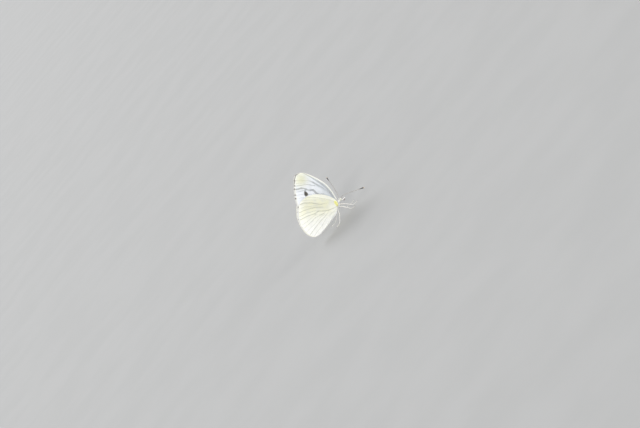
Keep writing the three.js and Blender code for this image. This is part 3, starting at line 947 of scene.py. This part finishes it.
def eye(name):
    bm = bmesh.new()
    bmesh.ops.create_icosphere(bm, subdivisions=6, radius=1, matrix=egg(EYE, SIDES[name]))
    finish_piece(f"eye_{name}_lens", to_mesh(bm), [EYE_LENS], [f"eye_{name}"])


def antenna(name):
    """A ringed shaft that swells to a club."""
    count = FEELER_RINGS * 6 + 1
    line = smooth_path(FEELERS[name], SIDES[name], count)
    t = steps(count)
    swell = ramp(t, 0.83, 0.94)
    beads = 1 + 0.1 * np.cos(math.tau * FEELER_RINGS * t) * (1 - 0.6 * swell)
    radii = lerp(SHAFT, CLUB, swell) * beads * lerp(1.25, 1, ramp(t, 0.03, 0.09))
    round_end = np.sqrt(np.clip(1 - ((t - 0.965) / 0.0355) ** 2, 0.02, 1))
    radii *= np.where(t > 0.965, round_end, 1)
    mesh = tube_mesh([(line, radii)], 14)
    gaps = length_of(threes(mesh.vertices, "co")[:, None] - line)
    set_marks(mesh, {"length": gaps.argmin(1) / (count - 1)})
    finish_piece(f"feeler_{name}", mesh, [ANTENNA], [f"antenna_{name}"])


def outward(ahead, axis, angle):
    """The directions out from a line at angles round it."""
    return turned(unit(np.cross(ahead, axis)), ahead, angle)


def round_map(along, angle):
    """Places on a map that is laid out along a limb and round it."""
    return np.stack([0.02 + 0.96 * along, 0.02 + 0.96 * angle / math.tau], -1)


def palp(name, seed):
    """A feeler of the mouth, with hairs that stand forwards."""

    def shape(t):
        return np.sqrt(np.clip(1 - (1.5 * t - 0.55) ** 2, 0.02, 1))

    line = smooth_path(PALP, SIDES[name], 24)
    mesh = tube_mesh([(line, PALP_SKIN * shape(steps(len(line))))], 12)
    finish_piece(f"palp_{name}_skin", mesh, [SKIN], [f"palp_{name}"])
    rng = np.random.default_rng(seed)
    t = rng.random(PALP_HAIRS) ** 0.9 * 0.94
    middle = spline(line, t)
    ahead = unit(spline(line, t + 0.04) - middle)
    angle = rng.uniform(0, math.tau, PALP_HAIRS)
    out = outward(ahead, (1, 0, 0), angle)
    root = middle + out * (PALP_ROOTS * shape(t))[:, None]
    lie = unit(ahead + out * (rng.uniform(0.25, 0.8, PALP_HAIRS) * lerp(1, 0.35, t))[:, None])
    length = rng.uniform(0.25, 0.5, PALP_HAIRS) * lerp(1.1, 0.6, t)
    marks = {"backside": out[:, 2] * 0.5 - 0.1, "along_body": np.zeros(PALP_HAIRS)}
    uv = round_map(t, angle)
    tufts(f"palp_{name}_coat", "coat", HAIR, root, lie, out, length, 0.035, uv, marks)


def tongue():
    """A thin coil below the face."""
    turn = steps(260) * TONGUE["turns"] * math.tau
    radius = TONGUE["outer"] - TONGUE["pitch"] * turn / math.tau
    angle = TONGUE["start"] - turn
    _, forward, up = TONGUE["centre"]
    coil = [np.zeros_like(turn), -(forward + radius * np.cos(angle)), up + radius * np.sin(angle)]
    line = np.stack(coil, -1)
    root = np.array(at(LEFT, TONGUE["face"]))
    line = np.concatenate([lerp(root, line[0], steps(24)[:-1, None]), line])
    share = steps(len(line))
    radii = TONGUE["radius"] * (1.1 - 0.55 * share) * (1 + 0.05 * np.cos(share * 620))  # with fine rings
    finish_piece("tongue", tube_mesh([(line, radii)], 10), [COIL], ["proboscis"])


def leg(pair, name, seed):
    """Thigh, shin and a foot of five joints with two claws, and the scales on them."""
    hip, knee, ankle, toe = (np.array(at(SIDES[name], p)) for p in LEGS[pair])
    floor = -HINGE_HEIGHT + FOOT
    ankle[2] = max(ankle[2], floor + 0.25)
    touch = lerp(ankle, toe, TOUCH)
    touch[2] = toe[2] = floor
    line, sizes = [], []

    def run(a, b, radii, count):
        for share in np.arange(count) / count:
            line.append(lerp(a, b, share))
            sizes.append(float(np.interp(share, steps(len(radii)), radii)))

    run(hip, knee, (HIP, THIGH * 1.12, THIGH, KNEE), 16)
    run(knee, ankle, (KNEE * 0.95, SHIN, SHIN, SHIN * 1.05), 16)
    run(ankle, touch, (SHIN, FOOT), 4)
    for j in range(FOOT_JOINTS):
        a, b = (lerp(touch, toe, k / FOOT_JOINTS) for k in (j, j + 1))
        run(a, b, (FOOT * 0.8, FOOT, FOOT, FOOT * 0.84), 6)
    line.append(toe)
    sizes.append(FOOT * 0.5)
    node = f"leg_{pair}_{name}"
    finish_piece(f"{node}_skin", tube_mesh([(line, sizes)], 12), [LEG_SKIN], [node])

    ahead = unit(toe - touch)
    sideways = np.cross(ahead, (0, 0, 1))
    hooks = []
    for way in (-1, 1):
        base = toe + sideways * way * 0.05
        hook = [base + ahead * x + sideways * way * y + np.array((0, 0, z)) for x, y, z in CLAW_LINE]
        hooks.append((hook, CLAW_RADII))
    finish_piece(f"{node}_claws", tube_mesh(hooks, 8), [CLAW])

    rng = np.random.default_rng(seed)
    line = np.array(line)
    lengths = np.concatenate([[0], np.cumsum(length_of(np.diff(line, axis=0)))])
    where = rng.random(LEG_SCALES) * lengths[-1] * 0.97 + lengths[-1] * 0.01
    middle, later = (np.stack([np.interp(w, lengths, x) for x in line.T], -1) for w in (where, where + 0.1))
    ahead = unit(later - middle)
    angle = rng.uniform(0, math.tau, LEG_SCALES)
    out = outward(ahead, (0, 0, 1), angle)
    root = middle + out * (np.interp(where, lengths, sizes) * 0.92)[:, None]
    share = where / lengths[-1]
    lie = unit(ahead + out * (rng.uniform(0.05, 0.3, LEG_SCALES) * lerp(1.2, 0.7, share))[:, None])
    length = lerp(0.3, 0.13, share) * rng.uniform(0.8, 1.2, LEG_SCALES)
    tip = root + lie * length[:, None]
    keep = tip[:, 2] > -HINGE_HEIGHT + 0.01
    marks = {"along_leg": share[keep], "backside": out[keep, 2]}
    parts = (values[keep] for values in (root, lie, out, length))
    uv = round_map(share, angle)[keep]
    tufts(f"{node}_scales", "leg", LEG_SCALE, *parts, 0.055, uv, marks, thick=0.15, bend=0.15)


# ---- the butterfly ----

WINGS = {"forewing": (FOREWING, FORE_VEINS, FORE_FOLDS), "hindwing": (HINDWING, HIND_VEINS, HIND_FOLDS)}
COAT_SEED, FRINGE_SEED, PALP_SEED, LEG_SEED = 11, 30, 50, 60

skin_mesh = body_skin()
for seed, coat in enumerate(COATS, COAT_SEED):
    body_coat(coat, skin_mesh, seed)
finish_piece("body_skin", skin_mesh, [SKIN], ["head", "thorax", "abdomen"])

for order, side_name in enumerate(SIDES):
    for seed, (kind, shape) in enumerate(WINGS.items(), FRINGE_SEED + 2 * order):
        wing = Wing(kind, side_name, *shape)
        wing_sheet(wing)
        wing_veins(wing)
        wing_fringe(wing, seed)
    eye(side_name)
    antenna(side_name)
    palp(side_name, PALP_SEED + order)
    for seed, pair in enumerate(LEGS, LEG_SEED + 3 * order):
        leg(pair, side_name, seed)
tongue()

# ---- floor, light and camera ----

FLOOR_SIZE = 12.0
AZIMUTH, ELEVATION, ROLL = 7, 11, 50  # behind the right side, above the floor, and the camera's tilt
LENS, SENSOR = 150, 36
FRAME_WIDTH = 352.6 * MM  # what the picture spans at the butterfly
HINGE_IN_PICTURE = (10.14 * MM, 5.51 * MM)  # the hinges' place right of and above the picture's middle


def floor_material():
    graph = Graph("floor", 0.2)
    grain = graph.noise(1.0, 4.0, graph.place(0.02))
    colour = graph.paint((0.395, 0.395, 0.39), (grain.step(0.3, 0.7), (0.415, 0.415, 0.41)))
    return graph.surface(colour, grain * 0.1 + 0.75)


bm = bmesh.new()
bmesh.ops.create_grid(bm, x_segments=2, y_segments=2, size=FLOOR_SIZE)
ground = add_object("floor", to_mesh(bm, "floor"))
ground.data.materials.append(floor_material())

azimuth, elevation, roll = (math.radians(v) for v in (AZIMUTH, ELEVATION, ROLL))
flat = math.cos(elevation)
towards = Vector((-flat * math.cos(azimuth), flat * math.sin(azimuth), math.sin(elevation)))
level = Vector((-math.sin(azimuth), -math.cos(azimuth), 0))
upright = towards.cross(level)
picture_right = level * math.cos(roll) - upright * math.sin(roll)
picture_up = level * math.sin(roll) + upright * math.cos(roll)
hinge = Vector((0, HINGE_Y, HINGE_HEIGHT)) * MM
target = hinge - picture_right * HINGE_IN_PICTURE[0] - picture_up * HINGE_IN_PICTURE[1]
turn = Matrix((picture_right, picture_up, towards)).transposed().to_4x4()

camera = add_object("camera", bpy.data.cameras.new("camera"))
camera.data.lens, camera.data.sensor_width = LENS, SENSOR
camera.data.clip_start, camera.data.clip_end = 0.05, 60
camera.matrix_world = Matrix.Translation(target + towards * FRAME_WIDTH * LENS / SENSOR) @ turn
bpy.context.scene.camera = camera


def soft_light(name, direction, strength, spread, colour):
    """An even light from a direction, spread over an angle in degrees."""
    lamp = bpy.data.lights.new(name, "SUN")
    lamp.energy, lamp.angle, lamp.color = strength, math.radians(spread), colour
    holder = add_object(name, lamp)
    holder.rotation_mode = "QUATERNION"
    holder.rotation_quaternion = direction.normalized().to_track_quat("Z", "Y")
    holder.location = hinge + direction.normalized() * 0.5


soft_light("key", Vector((-0.85, 0.42, 0.4)), 1.05, 22, (1.0, 0.985, 0.96))
soft_light("front", Vector((-0.75, -0.65, 0.07)), 2.1, 40, (1.0, 0.99, 0.98))
soft_light("far_side", Vector((0.85, 0.1, 0.5)), 1.4, 35, (0.97, 0.985, 1.0))
soft_light("behind", Vector((0.04, 1.0, 0.3)), 1.0, 30, (1.0, 0.99, 0.98))

world = bpy.data.worlds.new("studio")
world.use_nodes = True
sky = world.node_tree.nodes["Background"].inputs
sky["Color"].default_value, sky["Strength"].default_value = (0.97, 0.98, 1.0, 1), 0.75
bpy.context.scene.world = world
bpy.context.scene.view_settings.view_transform = "Standard"
